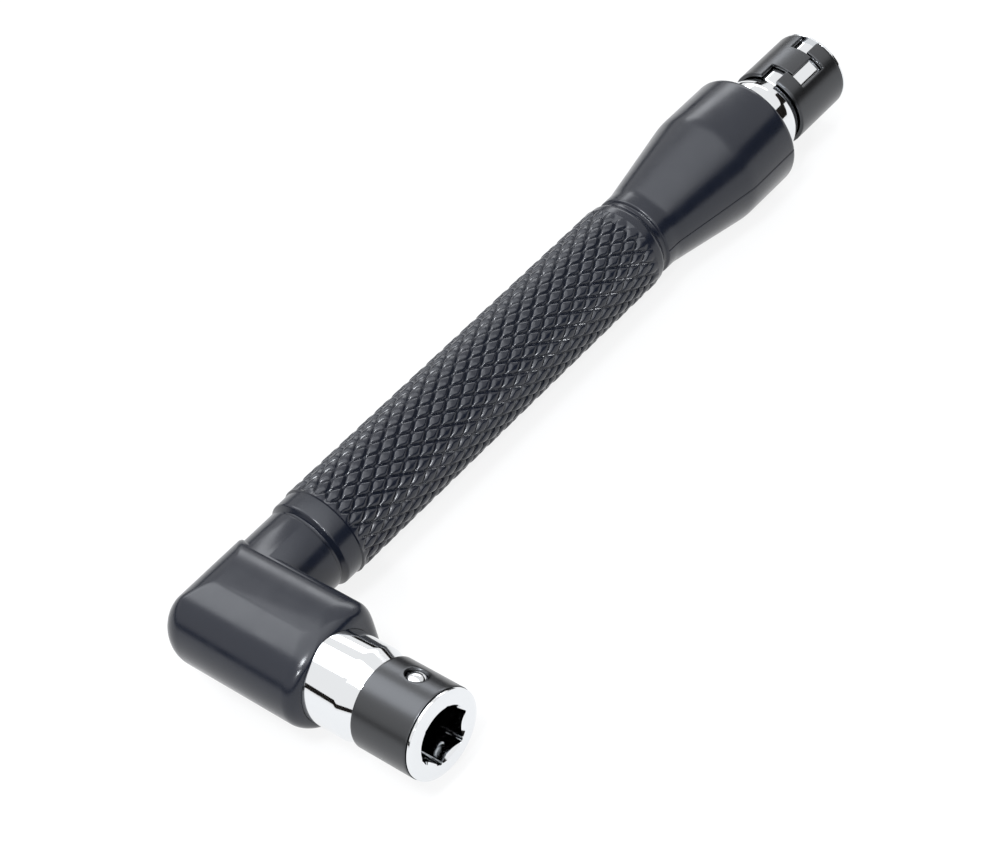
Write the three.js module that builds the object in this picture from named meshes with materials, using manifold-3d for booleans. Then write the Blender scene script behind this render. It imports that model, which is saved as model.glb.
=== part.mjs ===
// L-shaped wrench for hex-shank screwdriver bits, lying flat with +Z up.
// The handle runs along +Y and the short arm along +X. Each arm ends in the same kind of
// bit socket: a plated steel nose with a hex bore, a detent ball in a radial hole, and a
// rolled spring sleeve that presses the ball into the notch of the bit.
// The black handle is moulded round the tails of both sockets and a hex steel core bar.
// The model is made about the point where the two arms' axes cross, then moved so that the
// origin is at the bottom centre of its box.

import * as THREE from 'three';
import { mergeVertices } from 'three/addons/utils/BufferGeometryUtils.js';
import Module from 'manifold-3d';

const wasm = await Module();
wasm.setup();

// Driving dimensions of the bit socket, in millimetres
const HEX_ACROSS_FLATS = 6.35;
const BIT_CLEARANCE = 0.1;
const BORE_DEPTH = 13;
const BORE_CHAMFER = 0.4;
const NECK_RADIUS = 5.65;
const SIDE_NECK_LENGTH = 4.8;
const END_NECK_LENGTH = 2.9;
const NECK_TAPER = 2.1;
const LIP_LENGTH = 0.45;
const LIP_CHAMFER = 0.35;
const LIP_SETBACK = 0.1;
const SHOULDER_DEPTH = 2.5;
const TAIL_RADIUS = 4.7;
const TAIL_FLATS = 7.8;
const TAIL_CHAMFER = 0.6;

// Spring sleeve: a strip rolled to a ring, with the tongue of one end in a notch of the other
const SLEEVE_RADIUS = 5.5;
const SLEEVE_THICKNESS = 0.5;
const SIDE_SLEEVE_LENGTH = 7.9;
const END_SLEEVE_LENGTH = 9.2;
const SLEEVE_CLEARANCE = 0.15;
const SEAM_GAP = 2.4;
const TONGUE_WIDTH = 4.2;
const TONGUE_REACH = 0.9;
const TONGUE_SLIT = 0.2;
const NOTCH_GAP = 2.1;
const BALL_WINDOW_RADIUS = 1.3;

// Detent ball
const BALL_RADIUS = 1.5;
const BALL_CLEARANCE = 0.1;
const BALL_PROUD = 0.05;

// Handle moulding
const ELBOW_FRONT = 7.2;
const ELBOW_BACK = 7.2;
const ELBOW_HALF_HEIGHT = 6.3;
const ELBOW_BACK_FULLNESS = 5;
const ELBOW_CLOSED_END = 5.7;
const ELBOW_TIP_RADIUS = 4;
const ELBOW_SMALL_RADIUS = 0.5;
const ELBOW_FACE = 16.4;
const ELBOW_FACE_FILLET = 1.1;
const COLLAR_RADIUS = 5.55;
const COLLAR_LENGTH = 4.65;
const GROOVE_WIDTH = 0.7;
const GROOVE_DEPTH = 0.35;
const GROOVE_WALL = 0.18;
const BAND_LENGTH = 3.0;
const BAND_CHAMFER = 0.4;
const FAR_BAND_CHAMFER = 0.8;
const BAND_DROP = 0.2;
const GRIP_LENGTH = 54.8;
const GRIP_RADIUS_AT_ELBOW = 6.1;
const GRIP_RADIUS_AT_BARREL = 6.2;
const KNURL_STARTS = 20;
const KNURL_AXIAL_PITCH = 3.15;
const KNURL_DEPTH = 0.5;
const BARREL_NECK_RADIUS = 5.75;
const BARREL_NECK_LENGTH = 2.0;
const BARREL_TAPER_LENGTH = 13;
const BARREL_RADIUS = 8.05;
const BARREL_LENGTH = 9.3;
const BARREL_EDGE = 0.8;

// Core bar, and how the two tails hold it
const CORE_ACROSS_FLATS = 6.35;
const SPIGOT_RADIUS = 2.5;
const SPIGOT_STAND_OUT = 0.8;
const SIDE_TAIL_OVERHANG = 3.3;
const END_TAIL_LENGTH = 14;
const REAR_BORE_DEPTH = 9;
const FIT_GAP = 0.25;

// Where each ball points, in degrees from straight up, turning right-handed about the nose
const SIDE_BALL_ANGLE = -25;
const END_BALL_ANGLE = 203;

const ROUND_SIDES = 40;
const BALL_SIDES = 16;
const CUT_MARGIN = 2;

// Sizes that follow from the driving ones
const seatRadius = SLEEVE_RADIUS - SLEEVE_THICKNESS - SLEEVE_CLEARANCE;
const boreAcrossFlats = HEX_ACROSS_FLATS + BIT_CLEARANCE;
const ballCentreRadius = SLEEVE_RADIUS + BALL_PROUD - BALL_RADIUS;
const collarEnd = ELBOW_BACK + COLLAR_LENGTH;
const bandStart = collarEnd + GROOVE_WIDTH;
const gripStart = bandStart + BAND_LENGTH;
const gripEnd = gripStart + GRIP_LENGTH;
const farGroove = gripEnd + BAND_LENGTH;
const barrelStart = farGroove + GROOVE_WIDTH;
const taperStart = barrelStart + BARREL_NECK_LENGTH;
const taperEnd = taperStart + BARREL_TAPER_LENGTH;
const barrelEnd = taperEnd + BARREL_LENGTH;
const sideTailLength = ELBOW_FACE + SIDE_TAIL_OVERHANG;
const coreStart = TAIL_RADIUS + FIT_GAP;
const coreEnd = barrelEnd - END_TAIL_LENGTH + REAR_BORE_DEPTH - FIT_GAP;

const degrees = THREE.MathUtils.degToRad;

// Heights along one nose, from the moulding's face
function noseSizes(neckLength, sleeveLength) {
  const sleeveStart = neckLength + NECK_TAPER + SLEEVE_CLEARANCE;
  const sleeveEnd = sleeveStart + sleeveLength;
  const lipStart = sleeveEnd + SLEEVE_CLEARANCE;
  return {
    neckLength,
    sleeveStart,
    sleeveEnd,
    lipStart,
    reach: lipStart + LIP_LENGTH,
    ballStation: (sleeveStart + sleeveEnd) / 2,
  };
}

const sideSizes = noseSizes(SIDE_NECK_LENGTH, SIDE_SLEEVE_LENGTH);
const endSizes = noseSizes(END_NECK_LENGTH, END_SLEEVE_LENGTH);

// A closed geometry as a solid that can be joined and cut
function solid(geometry) {
  const bare = geometry.index ? geometry.toNonIndexed() : geometry.clone();
  bare.deleteAttribute('normal');
  bare.deleteAttribute('uv');
  const merged = mergeVertices(bare);
  const corners = Array.from(merged.index.array);
  const triangles = [];
  for (let i = 0; i < corners.length; i += 3) {
    const [a, b, c] = corners.slice(i, i + 3);
    if (a !== b && b !== c && c !== a) triangles.push(a, b, c);
  }
  return new wasm.Manifold(new wasm.Mesh({
    numProp: 3,
    vertProperties: merged.attributes.position.array,
    triVerts: new Uint32Array(triangles),
  }));
}

// A solid as a mesh of the scene
function piece(name, body, material) {
  const data = body.getMesh();
  const geometry = new THREE.BufferGeometry();
  geometry.setAttribute('position', new THREE.BufferAttribute(data.vertProperties, 3));
  geometry.setIndex(new THREE.BufferAttribute(data.triVerts, 1));
  geometry.computeVertexNormals();
  const mesh = new THREE.Mesh(geometry, material);
  mesh.name = name;
  return mesh;
}

// A turned body about Z, from a profile of [z, radius] that starts and ends on the axis or
// closes on itself
function turned(profile) {
  const points = profile.map(([z, radius]) => new THREE.Vector2(radius, z));
  return solid(new THREE.LatheGeometry(points, ROUND_SIDES).rotateX(Math.PI / 2));
}

// A straight prism along Z between two heights
function prism(shape, from, to) {
  const settings = { depth: to - from, bevelEnabled: false, curveSegments: ROUND_SIDES / 2 };
  return solid(new THREE.ExtrudeGeometry(shape, settings).translate(0, 0, from));
}

function rod(radius, from, to, sides = ROUND_SIDES) {
  const geometry = new THREE.CylinderGeometry(radius, radius, to - from, sides);
  return solid(geometry.rotateX(Math.PI / 2).translate(0, 0, (from + to) / 2));
}

// A regular hexagon with a corner towards the given angle
function hexagon(acrossFlats, angle = 0) {
  const radius = acrossFlats / Math.sqrt(3);
  const corners = [0, 1, 2, 3, 4, 5].map((i) => {
    const turn = degrees(angle + 60 * i);
    return new THREE.Vector2(radius * Math.cos(turn), radius * Math.sin(turn));
  });
  return new THREE.Shape(corners);
}

// A circle with two flats square to X
function roundWithFlats(radius, acrossFlats) {
  const half = Math.acos(Math.min(acrossFlats / 2 / radius, 1));
  const shape = new THREE.Shape();
  shape.absarc(0, 0, radius, half, Math.PI - half, false);
  shape.absarc(0, 0, radius, Math.PI + half, 2 * Math.PI - half, false);
  return shape;
}

// A loft through rings of equal count, closed by a fan at each end. The diagonals alternate,
// so a checkerboard of high and low points comes out as four-sided pyramids.
function loft(rings) {
  const count = rings[0].length;
  const points = rings.flat();
  const triangles = [];
  for (let j = 0; j + 1 < rings.length; j += 1) {
    for (let i = 0; i < count; i += 1) {
      const a = j * count + i;
      const b = j * count + ((i + 1) % count);
      const [c, d] = [b + count, a + count];
      if ((i + j) % 2 === 0) triangles.push(a, b, d, b, c, d);
      else triangles.push(a, b, c, a, c, d);
    }
  }
  const last = (rings.length - 1) * count;
  const centre = (ring) => ring.reduce((sum, p) => sum.add(p), new THREE.Vector3()).divideScalar(count);
  points.push(centre(rings[0]), centre(rings[rings.length - 1]));
  for (let i = 0; i < count; i += 1) {
    const next = (i + 1) % count;
    triangles.push(points.length - 2, next, i);
    triangles.push(points.length - 1, last + i, last + next);
  }
  const geometry = new THREE.BufferGeometry().setFromPoints(points);
  geometry.setIndex(triangles);
  return solid(geometry);
}

// One level of the elbow block, as a ring round its outline from above. The front and the closed
// end are round from top to bottom, the back is fuller, and the face has a rounded rim.
function elbowRing(turn) {
  const z = ELBOW_HALF_HEIGHT * Math.sin(turn);
  const drawIn = 1 - Math.cos(turn);
  const above = Math.max(Math.abs(z) - (ELBOW_HALF_HEIGHT - ELBOW_FACE_FILLET), 0);
  const rim = ELBOW_FACE_FILLET - Math.sqrt(ELBOW_FACE_FILLET ** 2 - above ** 2);
  const left = -ELBOW_CLOSED_END * Math.cos(turn);
  const front = -ELBOW_FRONT * Math.cos(turn);
  const right = ELBOW_FACE - rim;
  const fullness = ELBOW_BACK_FULLNESS;
  const back = ELBOW_BACK * (1 - Math.abs(Math.sin(turn)) ** fullness) ** (1 / fullness);
  const tip = Math.max(ELBOW_TIP_RADIUS - ELBOW_FRONT * drawIn, ELBOW_SMALL_RADIUS);
  const corners = [
    [left + tip, front + tip, tip, 180],
    [right - ELBOW_FACE_FILLET, front + ELBOW_FACE_FILLET, ELBOW_FACE_FILLET, 270],
    [right - ELBOW_FACE_FILLET, back - ELBOW_FACE_FILLET, ELBOW_FACE_FILLET, 0],
    [left + ELBOW_SMALL_RADIUS, back - ELBOW_SMALL_RADIUS, ELBOW_SMALL_RADIUS, 90],
  ];
  const cornerSteps = 6;
  return corners.flatMap(([x, y, radius, start]) => {
    const arc = [];
    for (let i = 0; i <= cornerSteps; i += 1) {
      const angle = degrees(start + (90 * i) / cornerSteps);
      arc.push(new THREE.Vector3(x + radius * Math.cos(angle), y + radius * Math.sin(angle), z));
    }
    return arc;
  });
}

// The elbow block, built up from its underside to its top
function elbowBlock() {
  const rings = [];
  const levels = 18;
  const topAngle = 86;
  for (let i = 0; i <= levels; i += 1) {
    rings.push(elbowRing(degrees(topAngle * ((2 * i) / levels - 1))));
  }
  return loft(rings);
}

// The handle's shaft: collar, groove, knurled grip between plain bands, groove and barrel.
// On the knurl, points stand high and low by turns along and around it, so that two sets of
// helical grooves cross and leave a diamond pyramid between them.
function handleShaft() {
  const around = 2 * KNURL_STARTS;
  const rings = [];
  const ring = (y, radiusAt) => {
    const row = rings.length;
    const points = [];
    for (let i = 0; i < around; i += 1) {
      const turn = (2 * Math.PI * i) / around;
      const radius = radiusAt(i + row);
      points.push(new THREE.Vector3(radius * Math.sin(turn), y, radius * Math.cos(turn)));
    }
    rings.push(points);
  };
  const plain = (y, radius) => ring(y, () => radius);
  const bandAtElbow = GRIP_RADIUS_AT_ELBOW - BAND_DROP;
  const bandAtBarrel = GRIP_RADIUS_AT_BARREL - BAND_DROP;
  const rows = Math.round((2 * GRIP_LENGTH) / KNURL_AXIAL_PITCH);

  plain(ELBOW_BACK / 2, COLLAR_RADIUS);
  plain(collarEnd, COLLAR_RADIUS);
  plain(collarEnd + GROOVE_WALL, COLLAR_RADIUS - GROOVE_DEPTH);
  plain(bandStart, COLLAR_RADIUS - GROOVE_DEPTH);
  plain(bandStart + BAND_CHAMFER, bandAtElbow);
  plain(gripStart, bandAtElbow);
  for (let j = 1; j < rows; j += 1) {
    const share = j / rows;
    const tip = THREE.MathUtils.lerp(GRIP_RADIUS_AT_ELBOW, GRIP_RADIUS_AT_BARREL, share);
    ring(gripStart + GRIP_LENGTH * share, (n) => (n % 2 === 0 ? tip : tip - KNURL_DEPTH));
  }
  plain(gripEnd, bandAtBarrel);
  plain(farGroove - FAR_BAND_CHAMFER, bandAtBarrel);
  plain(farGroove, BARREL_NECK_RADIUS - GROOVE_DEPTH);
  plain(barrelStart - GROOVE_WALL, BARREL_NECK_RADIUS - GROOVE_DEPTH);
  plain(barrelStart, BARREL_NECK_RADIUS);
  plain(taperStart, BARREL_NECK_RADIUS);
  plain(taperEnd, BARREL_RADIUS);
  const edgeSteps = 3;
  for (let i = 0; i <= edgeSteps; i += 1) {
    const turn = degrees((90 * i) / edgeSteps);
    const y = barrelEnd - BARREL_EDGE * (1 - Math.sin(turn));
    plain(y, BARREL_RADIUS - BARREL_EDGE * (1 - Math.cos(turn)));
  }
  return loft(rings);
}

// The hollow that one socket's tail and shoulder leave in the moulding, along Z
function tailHollow(tailLength) {
  const flats = TAIL_FLATS + 2 * FIT_GAP;
  const tail = prism(roundWithFlats(TAIL_RADIUS + FIT_GAP, flats), -tailLength - FIT_GAP, 0);
  return tail.add(rod(NECK_RADIUS + FIT_GAP, -SHOULDER_DEPTH - FIT_GAP, CUT_MARGIN));
}

// Turns a solid whose nose points along Z so that it points along the given axis, with its
// own +X upright, and puts the nose's base at the given distance along that axis
function nosePlacement(axis, distance) {
  const up = new THREE.Vector3(0, 0, 1);
  const side = new THREE.Vector3().crossVectors(axis, up);
  const matrix = new THREE.Matrix4().makeBasis(up, side, axis);
  return matrix.setPosition(axis.clone().multiplyScalar(distance));
}

const sideNose = nosePlacement(new THREE.Vector3(1, 0, 0), ELBOW_FACE);
const endNose = nosePlacement(new THREE.Vector3(0, 1, 0), barrelEnd);
const alongHandle = nosePlacement(new THREE.Vector3(0, 1, 0), 0);

function placed(body, matrix) {
  return body.transform(matrix.elements);
}

// The black moulding: elbow and shaft as one body, hollow where the steel sits
function handleMoulding() {
  const spigotHollow = rod(
    SPIGOT_RADIUS + FIT_GAP,
    -TAIL_RADIUS - SPIGOT_STAND_OUT - FIT_GAP,
    coreStart,
  );
  const coreHollow = prism(
    hexagon(CORE_ACROSS_FLATS + 2 * FIT_GAP),
    coreStart - FIT_GAP,
    barrelEnd - END_TAIL_LENGTH,
  );
  return elbowBlock()
    .add(handleShaft())
    .subtract(placed(tailHollow(sideTailLength), sideNose))
    .subtract(placed(tailHollow(END_TAIL_LENGTH), endNose))
    .subtract(placed(spigotHollow, alongHandle))
    .subtract(placed(coreHollow, alongHandle));
}

// The hex bar through the handle, turned down to a round spigot at the elbow
function coreBar() {
  const spigotEnd = -TAIL_RADIUS - SPIGOT_STAND_OUT;
  const spigot = rod(SPIGOT_RADIUS, spigotEnd, coreStart + FIT_GAP);
  return prism(hexagon(CORE_ACROSS_FLATS), coreStart, coreEnd).add(spigot);
}

// Where the ball sits, as a placement of a body made along Z
function ballAim(angle, station) {
  const turn = degrees(angle);
  const out = new THREE.Vector3(Math.cos(turn), Math.sin(turn), 0);
  const along = new THREE.Vector3(0, 0, 1);
  const across = new THREE.Vector3().crossVectors(out, along);
  const matrix = new THREE.Matrix4().makeBasis(along, across, out);
  return matrix.setPosition(0, 0, station);
}

// A bit socket with its nose along +Z and its base at the moulding's face
function bitSocket(sizes, tailLength, ballAngle) {
  const { neckLength, lipStart, reach } = sizes;
  const lipRadius = SLEEVE_RADIUS - LIP_SETBACK;
  const nose = turned([
    [-SHOULDER_DEPTH, 0],
    [-SHOULDER_DEPTH, NECK_RADIUS],
    [neckLength, NECK_RADIUS],
    [neckLength + NECK_TAPER, seatRadius],
    [lipStart, seatRadius],
    [lipStart, lipRadius],
    [reach - LIP_CHAMFER, lipRadius],
    [reach, lipRadius - LIP_CHAMFER],
    [reach, 0],
  ]);
  const tail = prism(roundWithFlats(TAIL_RADIUS, TAIL_FLATS), -tailLength, 0)
    .intersect(turned([
      [-tailLength, 0],
      [-tailLength, TAIL_RADIUS - TAIL_CHAMFER],
      [-tailLength + TAIL_CHAMFER, TAIL_RADIUS],
      [0, TAIL_RADIUS],
      [0, 0],
    ]));
  const mouthRadius = boreAcrossFlats / Math.sqrt(3);
  const mouthDepth = 2 * BORE_CHAMFER;
  const mouth = turned([
    [reach - mouthDepth, 0],
    [reach - mouthDepth, mouthRadius - BORE_CHAMFER],
    [reach, mouthRadius + BORE_CHAMFER],
    [reach + CUT_MARGIN, mouthRadius + BORE_CHAMFER],
    [reach + CUT_MARGIN, 0],
  ]);
  const bore = prism(
    hexagon(boreAcrossFlats, ballAngle),
    reach - BORE_DEPTH,
    reach + CUT_MARGIN,
  );
  return nose.add(tail).subtract(bore).subtract(mouth).subtract(ballHole(ballAngle, sizes.ballStation));
}

// The radial hole that guides the ball: a round shaft with a cup that stops it at the bore
function ballHole(angle, station) {
  const radius = BALL_RADIUS + BALL_CLEARANCE;
  const cup = solid(new THREE.SphereGeometry(radius, BALL_SIDES, BALL_SIDES / 2)
    .translate(0, 0, ballCentreRadius));
  const shaft = rod(radius, ballCentreRadius, SLEEVE_RADIUS + CUT_MARGIN, BALL_SIDES);
  return placed(cup.add(shaft), ballAim(angle, station));
}

// The side socket's tail is cross-drilled for the core bar's spigot
function sideSocket() {
  const drill = rod(SPIGOT_RADIUS + FIT_GAP, -TAIL_RADIUS - CUT_MARGIN, TAIL_RADIUS + CUT_MARGIN);
  const across = new THREE.Matrix4().makeRotationX(Math.PI / 2).setPosition(0, 0, -ELBOW_FACE);
  return bitSocket(sideSizes, sideTailLength, SIDE_BALL_ANGLE).subtract(placed(drill, across));
}

// The end socket's tail has a hex bore from behind for the core bar
function endSocket() {
  const bore = prism(
    hexagon(CORE_ACROSS_FLATS + 2 * FIT_GAP),
    -END_TAIL_LENGTH - CUT_MARGIN,
    -END_TAIL_LENGTH + REAR_BORE_DEPTH,
  );
  return bitSocket(endSizes, END_TAIL_LENGTH, END_BALL_ANGLE).subtract(bore);
}

// A wedge of the sleeve's wall, between two angles and two heights, to cut it with
function wallWedge(fromAngle, toAngle, from, to) {
  const inner = SLEEVE_RADIUS / 2;
  const outer = SLEEVE_RADIUS * 2;
  const at = (radius, angle) => new THREE.Vector2(
    radius * Math.cos(degrees(angle)),
    radius * Math.sin(degrees(angle)),
  );
  const middle = (fromAngle + toAngle) / 2;
  const corners = [
    at(inner, fromAngle), at(outer, fromAngle), at(outer, middle), at(outer, toAngle), at(inner, toAngle),
  ];
  return prism(new THREE.Shape(corners), from, to);
}

// The rolled sleeve, with its seam opposite the ball window
function springSleeve(sizes, ballAngle) {
  const { sleeveStart, sleeveEnd, ballStation } = sizes;
  const inner = SLEEVE_RADIUS - SLEEVE_THICKNESS;
  const ring = turned([
    [sleeveStart, inner],
    [sleeveStart, SLEEVE_RADIUS],
    [sleeveEnd, SLEEVE_RADIUS],
    [sleeveEnd, inner],
    [sleeveStart, inner],
  ]);
  const arc = (length) => THREE.MathUtils.radToDeg(length / SLEEVE_RADIUS);
  const span = arc(SEAM_GAP + TONGUE_REACH + NOTCH_GAP);
  const edge = ballAngle + 180 - span / 2;
  const prongs = edge + arc(SEAM_GAP);
  const tip = prongs + arc(TONGUE_REACH);
  const floor = edge + span;
  const tongueStart = ballStation - TONGUE_WIDTH / 2;
  const tongueEnd = tongueStart + TONGUE_WIDTH;
  const lap = arc(TONGUE_SLIT);
  const window = rod(BALL_WINDOW_RADIUS, 0, SLEEVE_RADIUS + CUT_MARGIN, BALL_SIDES);
  return ring
    .subtract(wallWedge(edge, prongs, sleeveStart - CUT_MARGIN, tongueStart))
    .subtract(wallWedge(edge, prongs, tongueEnd, sleeveEnd + CUT_MARGIN))
    .subtract(wallWedge(tip, floor, tongueStart - TONGUE_SLIT, tongueEnd + TONGUE_SLIT))
    .subtract(wallWedge(prongs - lap, tip + lap, tongueStart - TONGUE_SLIT, tongueStart))
    .subtract(wallWedge(prongs - lap, tip + lap, tongueEnd, tongueEnd + TONGUE_SLIT))
    .subtract(placed(window, ballAim(ballAngle, ballStation)));
}

function detentBall(sizes, angle) {
  const ball = solid(new THREE.SphereGeometry(BALL_RADIUS, BALL_SIDES, BALL_SIDES / 2)
    .translate(0, 0, ballCentreRadius));
  return placed(ball, ballAim(angle, sizes.ballStation));
}

const blackPlastic = new THREE.MeshStandardMaterial({ color: 0x1c1d20, roughness: 0.4, metalness: 0 });
const chromePlate = new THREE.MeshStandardMaterial({ color: 0xd6d9db, roughness: 0.1, metalness: 1 });
const blackSteel = new THREE.MeshStandardMaterial({ color: 0x2a2c2f, roughness: 0.4, metalness: 0.7 });
const ballSteel = new THREE.MeshStandardMaterial({ color: 0xc9cccf, roughness: 0.15, metalness: 1 });
const barSteel = new THREE.MeshStandardMaterial({ color: 0x75787b, roughness: 0.5, metalness: 1 });

function nose(matrix, pieces) {
  const group = new THREE.Group();
  group.applyMatrix4(matrix);
  group.add(...pieces);
  return group;
}

const core = new THREE.Group();
core.applyMatrix4(alongHandle);
core.add(piece('core_bar', coreBar(), barSteel));

const wrench = new THREE.Group();
wrench.name = 'bit_wrench';
wrench.add(
  piece('handle_moulding', handleMoulding(), blackPlastic),
  core,
  nose(sideNose, [
    piece('side_socket', sideSocket(), chromePlate),
    piece('side_spring_sleeve', springSleeve(sideSizes, SIDE_BALL_ANGLE), blackSteel),
    piece('side_detent_ball', detentBall(sideSizes, SIDE_BALL_ANGLE), ballSteel),
  ]),
  nose(endNose, [
    piece('end_socket', endSocket(), chromePlate),
    piece('end_spring_sleeve', springSleeve(endSizes, END_BALL_ANGLE), blackSteel),
    piece('end_detent_ball', detentBall(endSizes, END_BALL_ANGLE), ballSteel),
  ]),
);

// The box runs from the barrel's side to the side socket's face, and from the elbow's front to
// the end socket's face
const sideReach = ELBOW_FACE + sideSizes.reach;
const endReach = barrelEnd + endSizes.reach;
wrench.position.set(-(sideReach - BARREL_RADIUS) / 2, -(endReach - ELBOW_FRONT) / 2, BARREL_RADIUS);

export default wrench;
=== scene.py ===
"""An L-shaped hand wrench for hex-shank screwdriver bits, lying flat on a white table.

The handle is one black moulding with a steel core. Each arm ends in a chromed bit socket with a
detent ball, and a rolled spring sleeve of blackened steel holds the ball in.
Lengths are in millimetres about the point where the two arms' axes cross, until they are placed.
"""

import math

import bmesh
import bpy
from mathutils import Matrix, Vector


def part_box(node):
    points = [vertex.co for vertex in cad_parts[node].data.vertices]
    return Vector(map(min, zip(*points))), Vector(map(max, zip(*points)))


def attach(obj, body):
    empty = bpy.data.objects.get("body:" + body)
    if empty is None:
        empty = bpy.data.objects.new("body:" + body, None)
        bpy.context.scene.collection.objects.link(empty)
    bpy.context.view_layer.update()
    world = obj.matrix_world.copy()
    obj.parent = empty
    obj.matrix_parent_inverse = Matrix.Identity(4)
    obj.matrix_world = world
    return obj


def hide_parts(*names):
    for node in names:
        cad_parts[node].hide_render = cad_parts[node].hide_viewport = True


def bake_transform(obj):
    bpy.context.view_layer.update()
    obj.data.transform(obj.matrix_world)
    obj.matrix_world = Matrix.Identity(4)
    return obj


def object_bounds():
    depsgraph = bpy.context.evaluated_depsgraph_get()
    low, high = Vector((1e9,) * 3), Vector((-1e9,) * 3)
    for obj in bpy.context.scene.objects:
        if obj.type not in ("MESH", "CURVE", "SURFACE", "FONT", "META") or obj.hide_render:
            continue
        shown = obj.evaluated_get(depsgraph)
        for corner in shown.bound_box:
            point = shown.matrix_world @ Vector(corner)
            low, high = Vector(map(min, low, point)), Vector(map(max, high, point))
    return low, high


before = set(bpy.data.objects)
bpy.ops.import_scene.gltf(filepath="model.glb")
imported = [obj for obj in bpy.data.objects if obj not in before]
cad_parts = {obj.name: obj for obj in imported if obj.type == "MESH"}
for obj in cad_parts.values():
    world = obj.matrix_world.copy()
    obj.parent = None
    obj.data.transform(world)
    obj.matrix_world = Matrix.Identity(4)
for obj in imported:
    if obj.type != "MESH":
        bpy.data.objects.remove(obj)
size_at_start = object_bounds()

# Handle: glass-filled nylon, moulded in one shot round the tails of both sockets and the core
# bar. The mould parts along the plane of the L, which leaves a fine line down the barrel.
MM = 0.001
SIDE_SLEEVE_START = 7.05  # from the elbow's face, along the short arm
end_low, end_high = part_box("end_socket")
side_low, side_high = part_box("side_socket")
crossing = Vector(
    (
        (end_low.x + end_high.x) / 2,
        (side_low.y + side_high.y) / 2,
        (end_low.z + end_high.z) / 2,
    )
)
elbow_face = (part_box("side_spring_sleeve")[0].x - crossing.x) / MM - SIDE_SLEEVE_START
barrel_end = (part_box("handle_moulding")[1].y - crossing.y) / MM


def linear(hex_colour):
    """An sRGB hex colour as linear red, green and blue, with full alpha."""
    channels = [int(hex_colour[i : i + 2], 16) / 255 for i in (0, 2, 4)]
    curve = [c / 12.92 if c <= 0.04045 else ((c + 0.055) / 1.055) ** 2.4 for c in channels]
    return curve + [1.0]


def add_node(tree, kind, settings=None, inputs=None, links=None):
    """A node with its own settings, the values of its inputs and the outputs that feed them."""
    made = tree.nodes.new(kind)
    for name, value in (settings or {}).items():
        setattr(made, name, value)
    for name, value in (inputs or {}).items():
        made.inputs[name].default_value = value
    for name, output in (links or {}).items():
        tree.links.new(output, made.inputs[name])
    return made


def new_material(name):
    """An empty node material and its tree."""
    made = bpy.data.materials.new(name)
    made.use_nodes = True
    made.node_tree.nodes.clear()
    return made, made.node_tree


def skin(rings):
    """Points and faces of a surface through rings of equal count, with a face over each end."""
    count = len(rings[0])
    points = [p for ring in rings for p in ring]
    faces = []
    for j in range(len(rings) - 1):
        for i in range(count):
            a, b = j * count + i, j * count + (i + 1) % count
            faces.append((a, b, b + count, a + count))
    last = (len(rings) - 1) * count
    faces.append(tuple(range(count))[::-1])
    faces.append(tuple(range(last, last + count)))
    return points, faces


def new_object(name, points, faces, place=Matrix.Identity(4)):
    """A mesh object from points in millimetres, put in the row frame by the given placement."""
    mesh = bpy.data.meshes.new(name)
    to_row = Matrix.Translation(crossing) @ Matrix.Scale(MM, 4) @ place
    mesh.from_pydata([to_row @ Vector(p) for p in points], [], faces)
    made = bpy.data.objects.new(name, mesh)
    bpy.context.scene.collection.objects.link(made)
    return made


def settle(made):
    """Applies an object's modifiers to its mesh and removes its cutters."""
    bpy.context.view_layer.update()
    seen = made.evaluated_get(bpy.context.evaluated_depsgraph_get())
    mesh = bpy.data.meshes.new_from_object(seen)
    cutters = [m.object for m in made.modifiers if m.type == "BOOLEAN"]
    made.modifiers.clear()
    made.data = mesh
    for cutter in cutters:
        bpy.data.objects.remove(cutter)


def combine(made, other, operation):
    """A boolean of two objects that takes effect when the object is settled."""
    step = made.modifiers.new("combine", "BOOLEAN")
    step.operation, step.solver, step.object = operation, "EXACT", other
    other.hide_render = True


def shade(made, angle):
    """Smooth shading that breaks at edges sharper than the angle, in degrees."""
    made.data.shade_smooth()
    made.data.set_sharp_from_angle(angle=math.radians(angle))


def rounded(profile, steps=5):
    """A profile of (station, radius, cut) with each corner rounded over the cut's length."""
    line = []
    for i, (station, radius, cut) in enumerate(profile):
        corner = Vector((station, radius))
        if not cut or i in (0, len(profile) - 1):
            line.append(corner)
            continue
        back = (Vector(profile[i - 1][:2]) - corner).normalized() * cut
        ahead = (Vector(profile[i + 1][:2]) - corner).normalized() * cut
        for k in range(steps + 1):
            s = k / steps
            line.append(corner + back * (1 - s) ** 2 + ahead * s**2)
    return line


# The elbow block reaches this far from the crossing, and has these radii at its upright edges
ELBOW_CLOSED_END, ELBOW_FRONT, ELBOW_BACK, ELBOW_HALF_HEIGHT = 5.7, 7.2, 7.5, 6.3
ELBOW_TIP, ELBOW_RIM, ELBOW_SMALL = 4.0, 1.8, 0.5
BACK_FULLNESS = 3.8  # of the back's section, where 2 is an ellipse and more is squarer


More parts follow.
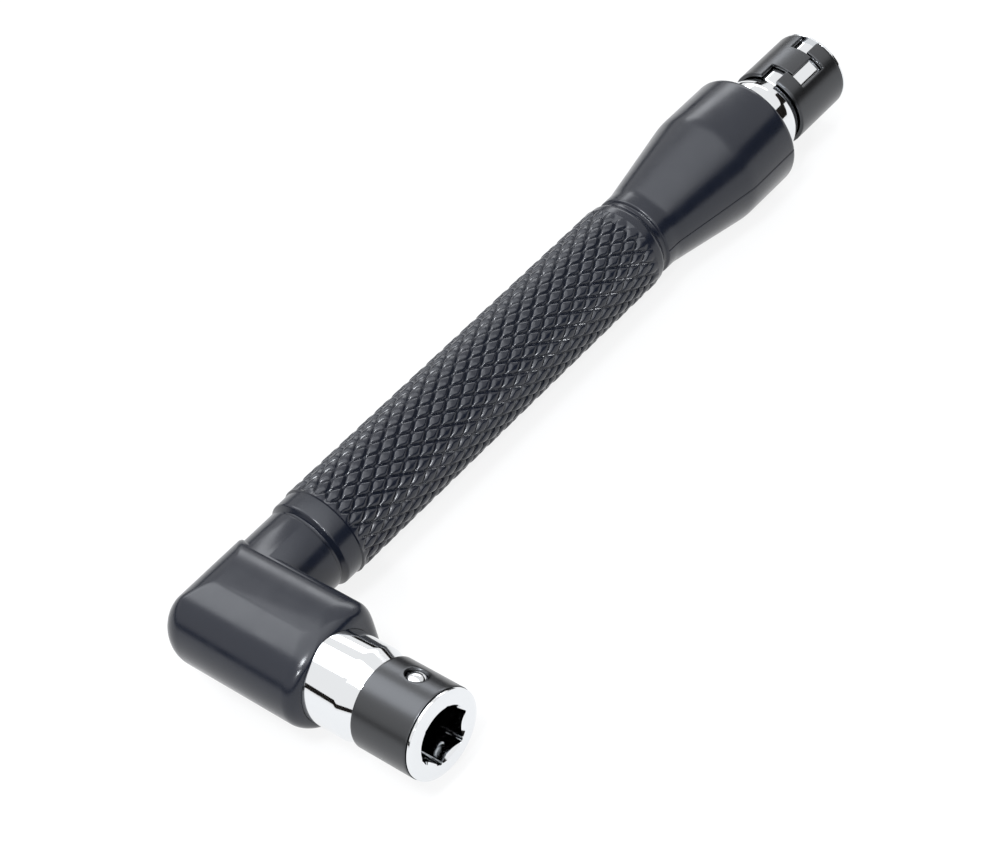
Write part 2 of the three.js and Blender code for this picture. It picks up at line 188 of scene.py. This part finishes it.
def elbow_ring(turn):
    """One level of the elbow, from above. It is round in height, and fuller at the back."""
    z = ELBOW_HALF_HEIGHT * math.sin(turn)
    above = max(abs(z) - (ELBOW_HALF_HEIGHT - ELBOW_RIM), 0)
    left, front = -ELBOW_CLOSED_END * math.cos(turn), -ELBOW_FRONT * math.cos(turn)
    right = elbow_face - ELBOW_RIM + math.sqrt(ELBOW_RIM**2 - above**2)
    back = ELBOW_BACK * (1 - abs(math.sin(turn)) ** BACK_FULLNESS) ** (1 / BACK_FULLNESS)
    tip = max(ELBOW_TIP - ELBOW_FRONT * (1 - math.cos(turn)), ELBOW_SMALL)
    rim = min(ELBOW_RIM, 0.49 * (back - front))
    corners = [
        (left + tip, front + tip, tip, 180),
        (right - rim, front + rim, rim, 270),
        (right - rim, back - rim, rim, 0),
        (left + ELBOW_SMALL, back - ELBOW_SMALL, ELBOW_SMALL, 90),
    ]
    ring = []
    for x, y, radius, start in corners:
        for k in range(13):
            angle = math.radians(start + 90 * k / 12)
            ring.append((x + radius * math.cos(angle), y + radius * math.sin(angle), z))
    return ring


elbow_rings = [elbow_ring(math.radians(tilt)) for tilt in range(-86, 87, 2)]
handle = new_object("handle", *skin(elbow_rings))

# The shaft has the knurl's own grid, with the same steps to a groove's pitch both ways, so that the
# grooves run along the grid's diagonals. Stations are along the handle's axis.
KNURL_STARTS, KNURL_PITCH, KNURL_DEPTH, KNURL_STEPS = 20, 3.15, 0.45, 16
KNURL_RUN_IN, KNURL_RUN_OUT = 1.0, 1.2
SHAFT_SIDES = KNURL_STEPS * KNURL_STARTS
SHAFT_ROOT, CAP_RADIUS = 3.0, 0.5
COLLAR_RADIUS, COLLAR_END, COLLAR_GROOVE_RADIUS, SHOULDER_RADIUS = 5.55, 11.95, 5.25, 5.95
GRIP_START, GRIP_END, GRIP_RADIUS, GRIP_RIM_RADIUS = 15.35, 71.3, 6.15, 6.0
WAIST_RADIUS = 5.4
BARREL_START, BARREL_NECK_RADIUS, BARREL_RADIUS = 74.05, 5.75, 8.05
TAPER_START, TAPER_END = BARREL_START + 2.0, BARREL_START + 15.0
NECK_HOLE_RADIUS, NECK_HOLE_DEPTH = 5.68, 2.5
PARTING_LINE_DEPTH = 0.2


def knurl(station, turn):
    """How far a point of the knurl lies below the tops of its diamonds, which are pillows."""
    along = (station - GRIP_START) / KNURL_PITCH
    around = KNURL_STARTS * turn / (2 * math.pi)
    height = 1.0
    for hand in (1, -1):
        gap = abs((around + hand * along + 0.5) % 1 - 0.5)
        height *= 1 - (1 - 2 * gap) ** 4
    run_in, run_out = (station - GRIP_START) / KNURL_RUN_IN, (GRIP_END - station) / KNURL_RUN_OUT
    return KNURL_DEPTH * (1 - height) * max(min(run_in, run_out, 1), 0)


# The collar and its groove come before the grip. After it come the waist, the taper and the barrel.
before = rounded(
    [
        (SHAFT_ROOT, CAP_RADIUS, 0),
        (SHAFT_ROOT, COLLAR_RADIUS, 0),
        (COLLAR_END, COLLAR_RADIUS, 0.15),
        (COLLAR_END + 0.1, COLLAR_GROOVE_RADIUS, 0.05),
        (COLLAR_END + 0.45, COLLAR_GROOVE_RADIUS, 0.05),
        (COLLAR_END + 0.9, SHOULDER_RADIUS, 0.2),
        (GRIP_START - 0.1, SHOULDER_RADIUS, 0),
    ]
)
after = rounded(
    [
        (GRIP_END + 0.1, GRIP_RIM_RADIUS, 0),
        (GRIP_END + 1.2, GRIP_RIM_RADIUS, 0.25),
        (BARREL_START - 0.7, WAIST_RADIUS, 0.1),
        (BARREL_START - 0.2, WAIST_RADIUS, 0.1),
        (BARREL_START, BARREL_NECK_RADIUS, 0.19),
        (TAPER_START, BARREL_NECK_RADIUS, 0.5),
        (TAPER_END, BARREL_RADIUS, 0.9),
        (barrel_end, BARREL_RADIUS, 0.8),
        (barrel_end, NECK_HOLE_RADIUS, 0.1),
        (barrel_end - NECK_HOLE_DEPTH, NECK_HOLE_RADIUS, 0),
        (barrel_end - NECK_HOLE_DEPTH, CAP_RADIUS, 0),
    ]
)
rows = round((GRIP_END - GRIP_START) / KNURL_PITCH * KNURL_STEPS)
stations = [(p.x, p.y, False) for p in before]
stations += [
    (GRIP_START + (GRIP_END - GRIP_START) * k / rows, GRIP_RADIUS, True)
    for k in range(rows + 1)
]
stations += [(p.x, p.y, False) for p in after]
shaft_rings = []
for station, radius, knurled in stations:
    ring = []
    for i in range(SHAFT_SIDES):
        turn = 2 * math.pi * i / SHAFT_SIDES
        here = radius - (knurl(station, turn) if knurled else 0)
        # The parting line, on both sides of the barrel
        on_line = i % (SHAFT_SIDES // 2) == SHAFT_SIDES // 4
        if on_line and station > BARREL_START and radius > NECK_HOLE_RADIUS + 0.02:
            here -= PARTING_LINE_DEPTH
        ring.append((here * math.sin(turn), station, here * math.cos(turn)))
    shaft_rings.append(ring)
shaft = new_object("shaft", *skin(shaft_rings))
combine(handle, shaft, "UNION")
neck_turns = [2 * math.pi * i / 96 for i in range(96)]
neck_rings = [
    [(x, NECK_HOLE_RADIUS * math.cos(t), NECK_HOLE_RADIUS * math.sin(t)) for t in neck_turns]
    for x in (elbow_face - NECK_HOLE_DEPTH, elbow_face + 3)
]
neck_hole = new_object("neck_hole", *skin(neck_rings))
combine(handle, neck_hole, "DIFFERENCE")
settle(handle)
shade(handle, 40)

# Satin black nylon from a spark-eroded mould: a dark blue-grey body with broad, soft reflections. The
# mould's grain, about 0.05 mm, is too fine to show, so it is drawn coarser. Handling gives the patches.
GRAIN_SIZE, PATCH_SIZE = 0.4, 2.86
nylon, tree = new_material("satin_black_nylon")
position = add_node(tree, "ShaderNodeNewGeometry").outputs["Position"]
grain = add_node(
    tree,
    "ShaderNodeTexNoise",
    inputs={"Scale": 1 / (GRAIN_SIZE * MM), "Detail": 3.0},
    links={"Vector": position},
)
skin_bump = add_node(
    tree,
    "ShaderNodeBump",
    inputs={"Strength": 0.03, "Distance": 0.05 * MM},
    links={"Height": grain.outputs["Fac"]},
)
patches = add_node(
    tree,
    "ShaderNodeTexNoise",
    inputs={"Scale": 1 / (PATCH_SIZE * MM), "Detail": 4.0},
    links={"Vector": position},
)
worn = add_node(
    tree,
    "ShaderNodeMapRange",
    inputs={"From Min": 0.35, "From Max": 0.65, "To Min": 0.2, "To Max": 0.25},
    links={"Value": patches.outputs["Fac"]},
)
plastic = add_node(
    tree,
    "ShaderNodeBsdfPrincipled",
    inputs={
        "Base Color": linear("11151f"),
        "IOR": 1.5,
        "Sheen Weight": 0.05,
        "Sheen Roughness": 0.3,
    },
    links={"Normal": skin_bump.outputs["Normal"], "Roughness": worn.outputs["Result"]},
)
add_node(tree, "ShaderNodeOutputMaterial", links={"Surface": plastic.outputs["BSDF"]})
handle.data.materials.append(nylon)
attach(handle, "handle")
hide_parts("handle_moulding")

# Core bar: drawn hex steel, buried in the handle from the elbow to the end socket, and turned
# down to a spigot that goes through the side socket's tail. Nothing of it shows.
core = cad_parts["core_bar"]

# Drawn steel, left bare: a mid grey with a dull shine
bar_steel, tree = new_material("drawn_bar_steel")
bar = add_node(
    tree,
    "ShaderNodeBsdfPrincipled",
    inputs={"Base Color": linear("8f9294"), "Metallic": 1.0, "Roughness": 0.4},
)
add_node(tree, "ShaderNodeOutputMaterial", links={"Surface": bar.outputs["BSDF"]})
core.data.materials.clear()
core.data.materials.append(bar_steel)

# Bit sockets: turned steel, broached to a hex, cross-drilled for the ball and chrome plated. The
# neck narrows to the seat of the spring sleeve, and a lip at the nose keeps the sleeve on.
NECK_ROOT, NECK_RADIUS, SEAT_RADIUS = -2.4, 5.65, 4.85
LIP_REACH, LIP_LENGTH, LIP_RADIUS, NOSE_RADIUS = 0.6, 0.45, 5.42, 4.95
BORE_FLATS, BORE_DEPTH, MOUTH_RADIUS, FACE_RADIUS = 6.45, 13.0, 3.6, 4.0
ROUND_SIDES = 192
MOUTH_STEP = 0.01  # keeps the bore's corners a hair below the face
BALL_RADIUS, BALL_CENTRE, BALL_CLEARANCE = 1.5, 4.05, 0.1
NOSES = {
    # axis, base, the ball's angle from upright, and where the sleeve starts and ends
    "side": (Vector((1, 0, 0)), elbow_face, -25, SIDE_SLEEVE_START, 14.95),
    "end": (Vector((0, 1, 0)), barrel_end, 203, 5.15, 14.35),
}


def nose_place(axis, base):
    """Puts a nose made along Z, with its own +X upright, at its base on the given axis."""
    up = Vector((0, 0, 1))
    turn = Matrix((up, axis.cross(up), axis)).transposed().to_4x4()
    return Matrix.Translation(axis * base) @ turn


def ball_place(angle, station):
    """Puts a body made along Z on the ball's radius of a nose."""
    turn = math.radians(angle)
    out = Vector((math.cos(turn), math.sin(turn), 0))
    along = Vector((0, 0, 1))
    basis = Matrix((along, out.cross(along), out)).transposed().to_4x4()
    return Matrix.Translation((0, 0, station)) @ basis


def round_ring(station, radius, sides=ROUND_SIDES):
    """A circle square to Z."""
    turns = [2 * math.pi * i / sides for i in range(sides)]
    return [(radius * math.cos(t), radius * math.sin(t), station) for t in turns]


# Bright chrome on turned steel: a near mirror, with the room's whites and darks in it
chrome, tree = new_material("bright_chrome_plate")
plate = add_node(
    tree,
    "ShaderNodeBsdfPrincipled",
    inputs={"Base Color": linear("e6e8ea"), "Metallic": 1.0, "Roughness": 0.06},
)
add_node(tree, "ShaderNodeOutputMaterial", links={"Surface": plate.outputs["BSDF"]})

for name, (axis, base, ball_angle, sleeve_start, sleeve_end) in NOSES.items():
    reach = sleeve_end + LIP_REACH
    outside = rounded(
        [
            (NECK_ROOT, CAP_RADIUS, 0),
            (NECK_ROOT, NECK_RADIUS, 0.1),
            (sleeve_start - 2.25, NECK_RADIUS, 0.3),
            (sleeve_start - 0.15, SEAT_RADIUS, 0.25),
            (reach - LIP_LENGTH, SEAT_RADIUS, 0),
            (reach - LIP_LENGTH, LIP_RADIUS, 0.03),
            (reach - 0.2, LIP_RADIUS, 0.03),
            (reach, NOSE_RADIUS, 0.1),
            (reach, FACE_RADIUS, 0),
        ]
    )
    rings = [round_ring(p.x, p.y) for p in outside]
    # The hex bore: a countersink breaks the edge of each flat and leaves the corners sharp
    edge_ring, mouth_ring, floor_ring = [], [], []
    for i in range(ROUND_SIDES):
        turn = 2 * math.pi * i / ROUND_SIDES
        from_flat = (turn - math.radians(ball_angle)) % (math.pi / 3) - math.pi / 6
        wall = BORE_FLATS / 2 / math.cos(from_flat)
        edge = max(wall, MOUTH_RADIUS)
        across, aside = math.cos(turn), math.sin(turn)
        edge_ring.append((edge * across, edge * aside, reach))
        mouth_ring.append((wall * across, wall * aside, reach - (edge - wall) - MOUTH_STEP))
        floor_ring.append((wall * across, wall * aside, reach - BORE_DEPTH))
    rings += [edge_ring, mouth_ring, floor_ring]
    place = nose_place(axis, base)
    socket = new_object(name + "_bit_socket", *skin(rings), place)
    drill = [round_ring(z, BALL_RADIUS + BALL_CLEARANCE, 48) for z in (3.0, 8.0)]
    station = (sleeve_start + sleeve_end) / 2
    hole = new_object("drill", *skin(drill), place @ ball_place(ball_angle, station))
    combine(socket, hole, "DIFFERENCE")
    settle(socket)
    shade(socket, 35)
    socket.data.materials.append(chrome)
    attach(socket, "handle")
    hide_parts(name + "_socket")

# Spring sleeves: strip steel blackened and rolled to a ring round the seat. A tongue at one end of
# the strip lies in a notch of the other, and a punched window shows the ball.
SLEEVE_RADIUS, SLEEVE_WALL = 5.5, 0.5
SEAM_GAP, TONGUE_WIDTH, TONGUE_REACH, TONGUE_SLIT, NOTCH_GAP = 2.4, 4.2, 0.9, 0.2, 2.1
WINDOW_RADIUS, WINDOW_FRAME, EDGE_BREAK = 1.43, 2.0, 0.09

# Spring steel blackened in a hot salt bath: a dark grey metal with a satin shine
black_steel, tree = new_material("blackened_spring_steel")
steel = add_node(
    tree,
    "ShaderNodeBsdfPrincipled",
    inputs={"Base Color": linear("505153"), "Metallic": 1.0, "Roughness": 0.3},
)
add_node(tree, "ShaderNodeOutputMaterial", links={"Surface": steel.outputs["BSDF"]})


def spread(marks, step):
    """The marks in order, with even points between them no further apart than the step."""
    line = []
    for a, b in zip(marks, marks[1:]):
        parts = max(1, math.ceil((b - a) / step))
        line += [a + (b - a) * k / parts for k in range(parts)]
    return line + [marks[-1]]


for name, (axis, base, ball_angle, sleeve_start, sleeve_end) in NOSES.items():
    # The strip laid flat: arc length from the ball's line, and height along the nose
    girth = 2 * math.pi * SLEEVE_RADIUS
    span = SEAM_GAP + TONGUE_REACH + NOTCH_GAP
    edge = girth / 2 - span / 2
    prongs, tip, floor_line = edge + SEAM_GAP, edge + SEAM_GAP + TONGUE_REACH, edge + span
    centre = (sleeve_start + sleeve_end) / 2
    low, high = centre - TONGUE_WIDTH / 2, centre + TONGUE_WIDTH / 2
    arcs = spread(
        [-WINDOW_FRAME, WINDOW_FRAME, edge, prongs, tip, floor_line, girth - WINDOW_FRAME], 0.25
    )
    heights = spread(
        sorted(
            [sleeve_start, low - TONGUE_SLIT, low, high, high + TONGUE_SLIT, sleeve_end]
            + [centre - WINDOW_FRAME, centre + WINDOW_FRAME]
        ),
        0.35,
    )

    def gone(arc, height):
        """Whether the strip is cut away there."""
        in_tongue = low < height < high
        near_tongue = low - TONGUE_SLIT < height < high + TONGUE_SLIT
        window = arc < WINDOW_FRAME and abs(height - centre) < WINDOW_FRAME
        seam = edge < arc < prongs and not in_tongue
        slit = prongs < arc < tip and near_tongue and not in_tongue
        notch = tip < arc < floor_line and near_tongue
        return window or seam or slit or notch

    flat = bmesh.new()
    grid = {}
    last = len(arcs) - 1
    for i in range(last):
        for j in range(len(heights) - 1):
            middle = ((arcs[i] + arcs[i + 1]) / 2, (heights[j] + heights[j + 1]) / 2)
            if gone(*middle):
                continue
            cell = []
            for a, b in ((i, j), (i + 1, j), (i + 1, j + 1), (i, j + 1)):
                key = (a % last, b)
                if key not in grid:
                    grid[key] = flat.verts.new((arcs[key[0]], heights[b], 0))
                cell.append(grid[key])
            flat.faces.new(cell)
    # The window: rings from its square frame in to the punched circle
    width = arcs.index(WINDOW_FRAME)
    rows_in = [j for j, h in enumerate(heights) if abs(h - centre) <= WINDOW_FRAME + 1e-6]
    loop = [(i, rows_in[0]) for i in range(width)]
    loop += [(width, j) for j in rows_in[:-1]]
    loop += [(i, rows_in[-1]) for i in range(width, 0, -1)]
    loop += [(0, j) for j in rows_in[:0:-1]]
    outer = [grid[key] for key in loop]
    for share in (0.5, 1.0):
        inner = []
        for key in loop:
            offset = Vector((arcs[key[0]], heights[key[1]] - centre))
            spot = offset.lerp(offset.normalized() * WINDOW_RADIUS, share)
            inner.append(flat.verts.new((spot.x, centre + spot.y, 0)))
        for k in range(len(loop)):
            n = (k + 1) % len(loop)
            flat.faces.new((outer[k], outer[n], inner[n], inner[k]))
        outer = inner
    for vertex in flat.verts:
        turn = math.radians(ball_angle) + vertex.co.x / SLEEVE_RADIUS
        spot = Vector((math.cos(turn), math.sin(turn), 0)) * SLEEVE_RADIUS
        vertex.co = Vector((spot.x, spot.y, vertex.co.y))
    bmesh.ops.recalc_face_normals(flat, faces=flat.faces)
    flat.verts.index_update()
    points = [v.co.copy() for v in flat.verts]
    faces = [[v.index for v in f.verts] for f in flat.faces]
    flat.free()
    sleeve = new_object(name + "_rolled_sleeve", points, faces, nose_place(axis, base))
    outward = sleeve.data.polygons[0].normal.dot(
        sleeve.data.polygons[0].center - (crossing + axis * (base + centre) * MM)
    )
    wall = sleeve.modifiers.new("wall", "SOLIDIFY")
    wall.thickness, wall.offset = SLEEVE_WALL * MM, -1 if outward > 0 else 1
    edges = sleeve.modifiers.new("edges", "BEVEL")
    edges.width, edges.segments, edges.limit_method = EDGE_BREAK * MM, 2, "ANGLE"
    edges.angle_limit = math.radians(50)
    settle(sleeve)
    shade(sleeve, 35)
    sleeve.data.materials.append(black_steel)
    # The sleeve's placement is baked into its mesh
    middle = crossing + axis * (base + centre) * MM
    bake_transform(sleeve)
    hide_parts(name + "_spring_sleeve")

# Detent balls: hardened bearing steel, ground and lapped. Each lies loose in its drilled hole, where
# the spring sleeve presses on it, so that it drops into the groove of a bit's shank.
BALL_SIDES = 64

# Polished steel: a bright mirror, a shade darker than the chrome
ball_steel, tree = new_material("polished_ball_steel")
ground = add_node(
    tree,
    "ShaderNodeBsdfPrincipled",
    inputs={"Base Color": linear("dadcde"), "Metallic": 1.0, "Roughness": 0.08},
)
add_node(tree, "ShaderNodeOutputMaterial", links={"Surface": ground.outputs["BSDF"]})
for name, (axis, base, ball_angle, sleeve_start, sleeve_end) in NOSES.items():
    rings = [
        round_ring(
            BALL_CENTRE + BALL_RADIUS * math.sin(math.radians(tilt)),
            BALL_RADIUS * math.cos(math.radians(tilt)),
            BALL_SIDES,
        )
        for tilt in range(-88, 89, 4)
    ]
    station = (sleeve_start + sleeve_end) / 2
    place = nose_place(axis, base) @ ball_place(ball_angle, station)
    ball = new_object(name + "_ball", *skin(rings), place)
    shade(ball, 60)
    ball.data.materials.append(ball_steel)
    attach(ball, name + "_ball")
    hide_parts(name + "_detent_ball")

# Table: a plain board with matt white paint, which the tool lies on. It shows as near white to the
# camera and in the chrome, and keeps a soft shadow.
TABLE_HALF, TABLE_WHITENESS = 3.0, 0.85  # in metres, and the share that shows as plain white
mesh = bpy.data.meshes.new("table")
corners = [(x * TABLE_HALF, y * TABLE_HALF, 0) for x, y in ((-1, -1), (1, -1), (1, 1), (-1, 1))]
mesh.from_pydata(corners, [], [(0, 1, 2, 3)])
table = bpy.data.objects.new("table", mesh)
bpy.context.scene.collection.objects.link(table)
# Matt white paint: even, with no shine
white, tree = new_material("matt_white_paint")
paint = add_node(tree, "ShaderNodeBsdfDiffuse", inputs={"Color": linear("f2f2f2")})
glow = add_node(tree, "ShaderNodeEmission", inputs={"Color": (1, 1, 1, 1), "Strength": 1.0})
path = add_node(tree, "ShaderNodeLightPath")
shown = add_node(
    tree,
    "ShaderNodeMath",
    {"operation": "MAXIMUM"},
    links={0: path.outputs["Is Camera Ray"], 1: path.outputs["Is Glossy Ray"]},
)
whiteness = add_node(
    tree,
    "ShaderNodeMath",
    {"operation": "MULTIPLY"},
    {1: TABLE_WHITENESS},
    {0: shown.outputs[0]},
)
table_mix = add_node(
    tree,
    "ShaderNodeMixShader",
    links={0: whiteness.outputs[0], 1: paint.outputs["BSDF"], 2: glow.outputs["Emission"]},
)
add_node(tree, "ShaderNodeOutputMaterial", links={"Surface": table_mix.outputs[0]})
table.data.materials.append(white)

# Light: two softboxes over the tool, with a strip behind it and two small lamps for the glints, in a
# white room. Dark cards stand in a ring round the tool, and show only in reflections, where they
# give the chrome its dark lines. Lengths are in metres from here on.
world = bpy.data.worlds.new("studio")
bpy.context.scene.world = world
world.use_nodes = True
tree = world.node_tree
tree.nodes.clear()
path = add_node(tree, "ShaderNodeLightPath")
shown = add_node(
    tree,
    "ShaderNodeMath",
    {"operation": "MAXIMUM"},
    links={0: path.outputs["Is Camera Ray"], 1: path.outputs["Is Glossy Ray"]},
)
shown = add_node(
    tree,
    "ShaderNodeMath",
    {"operation": "MAXIMUM"},
    links={0: shown.outputs[0], 1: path.outputs["Is Transmission Ray"]},
)
room = add_node(tree, "ShaderNodeBackground", inputs={"Color": (0.35, 0.36, 0.38, 1)})
backdrop = add_node(tree, "ShaderNodeBackground", inputs={"Color": (1, 1, 1, 1)})
world_mix = add_node(
    tree,
    "ShaderNodeMixShader",
    links={0: shown.outputs[0], 1: room.outputs[0], 2: backdrop.outputs[0]},
)
add_node(tree, "ShaderNodeOutputWorld", links={"Surface": world_mix.outputs[0]})

LAMP_DISTANCE, DAYLIGHT = 0.6, (0.93, 0.96, 1.0)


def softbox(name, place, target, width, height, radiance):
    """An area lamp that faces the target, with the given radiance over its face."""
    lamp = bpy.data.lights.new(name, "AREA")
    lamp.shape, lamp.size, lamp.size_y = "RECTANGLE", width, height
    lamp.energy = radiance * math.pi * width * height
    lamp.color = DAYLIGHT
    made = bpy.data.objects.new(name, lamp)
    made.location = place
    made.rotation_euler = (Vector(target) - Vector(place)).to_track_quat("-Z", "Y").to_euler()
    bpy.context.scene.collection.objects.link(made)


centre_of_tool = (size_at_start[0] + size_at_start[1]) / 2
softbox("overhead_softbox", (0.45, 0.0, 1.5), (0.45, 0.0, 0.0), width=2.9, height=1.3, radiance=1.8)
softbox(
    "left_softbox", (-1.6, -0.05, 1.5), (-1.6, -0.05, 0.0), width=1.2, height=1.3, radiance=3.5
)
rim_place = centre_of_tool + Vector((-0.45, 0.75, 0.5))
softbox("rim_strip", rim_place, centre_of_tool, width=0.8, height=0.22, radiance=3.5)
key_place = centre_of_tool + Vector((0.18, -0.41, 0.89)) * LAMP_DISTANCE
softbox("key_lamp", key_place, centre_of_tool, width=0.12, height=0.12, radiance=40.0)
spark_place = centre_of_tool + Vector((0.39, -0.70, 0.60)) * LAMP_DISTANCE
softbox("spark_lamp", spark_place, centre_of_tool, width=0.04, height=0.04, radiance=220.0)

CARDS, CARD_RING, CARD_FOOT, CARD_TOP, CARD_RISE, RISE_TURN = 48, 0.6, 0.03, 0.12, 0.22, 0.35
cards_points, cards_faces = [], []
for k in range(CARDS):
    around = 2 * math.pi * k / CARDS
    top = CARD_TOP + CARD_RISE * max(math.cos(around - RISE_TURN), 0) ** 2
    for height in (CARD_FOOT, top):
        cards_points.append((CARD_RING * math.cos(around), CARD_RING * math.sin(around), height))
    a, b = 2 * k, 2 * ((k + 1) % CARDS)
    cards_faces.append((a, b, b + 1, a + 1))
mesh = bpy.data.meshes.new("dark_cards")
mesh.from_pydata(cards_points, [], cards_faces)
cards = bpy.data.objects.new("dark_cards", mesh)
bpy.context.scene.collection.objects.link(cards)
# Black card: matt, and a shade warm
black_card, tree = new_material("black_card")
card = add_node(tree, "ShaderNodeBsdfDiffuse", inputs={"Color": linear("1c1917")})
add_node(tree, "ShaderNodeOutputMaterial", links={"Surface": card.outputs["BSDF"]})
cards.data.materials.append(black_card)
cards.visible_camera = cards.visible_diffuse = cards.visible_shadow = False

# Camera: a long lens close to the tool, from above the open side of the L. It is rolled, so that the
# handle slants up to the right.
CAMERA_DISTANCE = 0.3
AIM = Vector((6.875, 39.396, 0.656))  # in millimetres from the crossing
azimuth, elevation, roll = (math.radians(a) for a in (49.61, 43.02, -13.94))
back = Vector(
    (
        math.sin(azimuth) * math.cos(elevation),
        -math.cos(azimuth) * math.cos(elevation),
        math.sin(elevation),
    )
)
level = Vector((math.cos(azimuth), math.sin(azimuth), 0))
right = level * math.cos(roll) + back.cross(level) * math.sin(roll)
lens = bpy.data.cameras.new("camera")
lens.sensor_width, lens.lens = 36.0, 91.23
lens.clip_start, lens.clip_end = 0.01, 20.0
camera = bpy.data.objects.new("camera", lens)
aim = crossing + AIM * MM
turn = Matrix((right, back.cross(right), back)).transposed().to_4x4()
camera.matrix_world = Matrix.Translation(aim + back * CAMERA_DISTANCE) @ turn
bpy.context.scene.collection.objects.link(camera)
bpy.context.scene.camera = camera

bpy.context.scene.view_settings.view_transform = "Standard"
